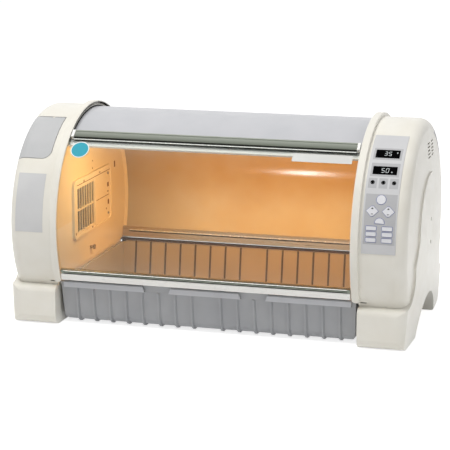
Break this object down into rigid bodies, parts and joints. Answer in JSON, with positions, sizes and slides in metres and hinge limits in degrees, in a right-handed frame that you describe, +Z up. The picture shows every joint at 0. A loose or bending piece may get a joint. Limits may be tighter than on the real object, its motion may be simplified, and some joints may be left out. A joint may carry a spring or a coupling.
{
  "type": "brooder box",
  "caption": "Drum-shaped heated brooder box with domed ends on feet, a clear curved door that swings up over the roof, a ribbed pull-out tray, lids and a control panel.",
  "frame": {"origin": "on the floor below the middle of the drum axis, at the bottom centre of the object", "axes": "+X along the drum to the control end, +Y to the back, +Z up"},
  "size_m": [0.8988, 0.5, 0.464],
  "materials": {
    "ivory_plastic": "satin moulded plastic",
    "grey_roof": "smooth painted sheet",
    "grey_tray": "fine moulded texture",
    "grey_lid": "satin moulded plastic",
    "rail_metal": "drawn and anodised",
    "white_plastic": "smooth",
    "clear_panel": "clear and polished",
    "black_window": "dark and polished",
    "overlay_film": "printed film",
    "key_film": "printed film",
    "black_rubber": "matte",
    "screw_steel": "plated",
    "heater_metal": "plain fins",
    "fan_plastic": "moulded",
    "board": "coated circuit board",
    "supply_case": "coated case",
    "tank_plastic": "milky",
    "cap_plastic": "ribbed",
    "filter_pad": "felted",
    "lamp_glass": "frosted",
    "badge_print": "printed disc"
  },
  "bodies": {
    "housing": {"left_end_frame": "ivory_plastic", "right_end_frame": "ivory_plastic", "left_end_cover": "ivory_plastic", "right_end_cover": "ivory_plastic", "rubber_pads": "black_rubber", "cover_screws": "screw_steel", "roof_shell": "grey_roof", "roof_front_rail": "rail_metal", "roof_seal_strip": "white_plastic", "rear_rail": "rail_metal", "rear_rail_ends": "white_plastic", "heater_panel": "ivory_plastic", "grille": "ivory_plastic", "panel_screws": "screw_steel", "wall_peg": "ivory_plastic", "fan_shroud": "fan_plastic", "fan_motor": "screw_steel", "heater_element": "heater_metal", "water_tank": "tank_plastic", "tank_cap": "cap_plastic", "filter_box": "filter_pad", "sensor_probe": "white_plastic", "lamp_holders": "white_plastic", "lamp_tube": "lamp_glass", "control_overlay": "overlay_film", "key_backing": "black_rubber", "upper_display": "black_window", "lower_display": "black_window", "indicator_lamps": "black_window", "control_board": "board", "power_supply": "supply_case", "cord_gland": "black_rubber", "notice_plate": "overlay_film"},
    "door": {"door_panel": "clear_panel", "door_top_rail": "rail_metal", "door_low_rail": "rail_metal", "door_handle": "white_plastic", "door_top_caps": "white_plastic", "door_low_caps": "white_plastic", "door_plate": "white_plastic", "door_badge": "badge_print"},
    "tray": {"tray": "grey_tray"},
    "left_lid": {"left_lid": "grey_lid"},
    "right_lid": {"right_lid": "grey_lid"},
    "fan": {"fan_impeller": "fan_plastic"},
    "power_key": {"power_key": "key_film"},
    "left_rocker": {"left_rocker": "key_film"},
    "right_rocker": {"right_rocker": "key_film"},
    "select_key": {"select_key": "key_film"},
    "small_key_1": {"small_key_1": "key_film"},
    "small_key_2": {"small_key_2": "key_film"},
    "small_key_3": {"small_key_3": "key_film"},
    "small_key_4": {"small_key_4": "key_film"},
    "small_key_5": {"small_key_5": "key_film"},
    "small_key_6": {"small_key_6": "key_film"}
  },
  "joints": [
    {"name": "door_swing", "type": "hinge", "parent": "housing", "child": "door", "pos_m": [0, 0, 0.214], "axis": [-1, 0, 0], "range_deg": [0, 63]},
    {"name": "tray_slide", "type": "slide", "parent": "housing", "child": "tray", "axis": [0, -1, 0], "range_m": [0, 0.38]},
    {"name": "left_lid_hinge", "type": "hinge", "parent": "housing", "child": "left_lid", "pos_m": [-0.384, -0.08728, 0.43558], "axis": [-1, 0, 0], "range_deg": [0, 65]},
    {"name": "right_lid_hinge", "type": "hinge", "parent": "housing", "child": "right_lid", "pos_m": [0.384, 0.08728, 0.43558], "axis": [1, 0, 0], "range_deg": [0, 65]},
    {"name": "fan_spin", "type": "hinge", "parent": "housing", "child": "fan", "pos_m": [-0.3535, -0.0455, 0.2315], "axis": [1, 0, 0], "continuous": true},
    {"name": "power_key_press", "type": "slide", "parent": "housing", "child": "power_key", "axis": [0, 0.8996, -0.4368], "range_m": [0, 0.0006], "stiffness_N_per_m": 400, "springref_m": -0.0004},
    {"name": "select_key_press", "type": "slide", "parent": "housing", "child": "select_key", "axis": [0, 0.9636, -0.2672], "range_m": [0, 0.0006], "stiffness_N_per_m": 400, "springref_m": -0.0004},
    {"name": "small_key_1_press", "type": "slide", "parent": "housing", "child": "small_key_1", "axis": [0, 0.9789, -0.2045], "range_m": [0, 0.0006], "stiffness_N_per_m": 400, "springref_m": -0.0004},
    {"name": "small_key_2_press", "type": "slide", "parent": "housing", "child": "small_key_2", "axis": [0, 0.9789, -0.2045], "range_m": [0, 0.0006], "stiffness_N_per_m": 400, "springref_m": -0.0004},
    {"name": "small_key_3_press", "type": "slide", "parent": "housing", "child": "small_key_3", "axis": [0, 0.9877, -0.1564], "range_m": [0, 0.0006], "stiffness_N_per_m": 400, "springref_m": -0.0004},
    {"name": "small_key_4_press", "type": "slide", "parent": "housing", "child": "small_key_4", "axis": [0, 0.9877, -0.1564], "range_m": [0, 0.0006], "stiffness_N_per_m": 400, "springref_m": -0.0004},
    {"name": "small_key_5_press", "type": "slide", "parent": "housing", "child": "small_key_5", "axis": [0, 0.9943, -0.1063], "range_m": [0, 0.0006], "stiffness_N_per_m": 400, "springref_m": -0.0004},
    {"name": "small_key_6_press", "type": "slide", "parent": "housing", "child": "small_key_6", "axis": [0, 0.9943, -0.1063], "range_m": [0, 0.0006], "stiffness_N_per_m": 400, "springref_m": -0.0004},
    {"name": "left_rocker_tilt", "type": "hinge", "parent": "housing", "child": "left_rocker", "pos_m": [0.36255, -0.22304, 0.29562], "axis": [1, 0, 0], "range_deg": [-2.5, 2.5], "stiffness_Nm_per_rad": 0.06},
    {"name": "right_rocker_tilt", "type": "hinge", "parent": "housing", "child": "right_rocker", "pos_m": [0.39595, -0.22304, 0.29562], "axis": [1, 0, 0], "range_deg": [-2.5, 2.5], "stiffness_Nm_per_rad": 0.06}
  ]
}
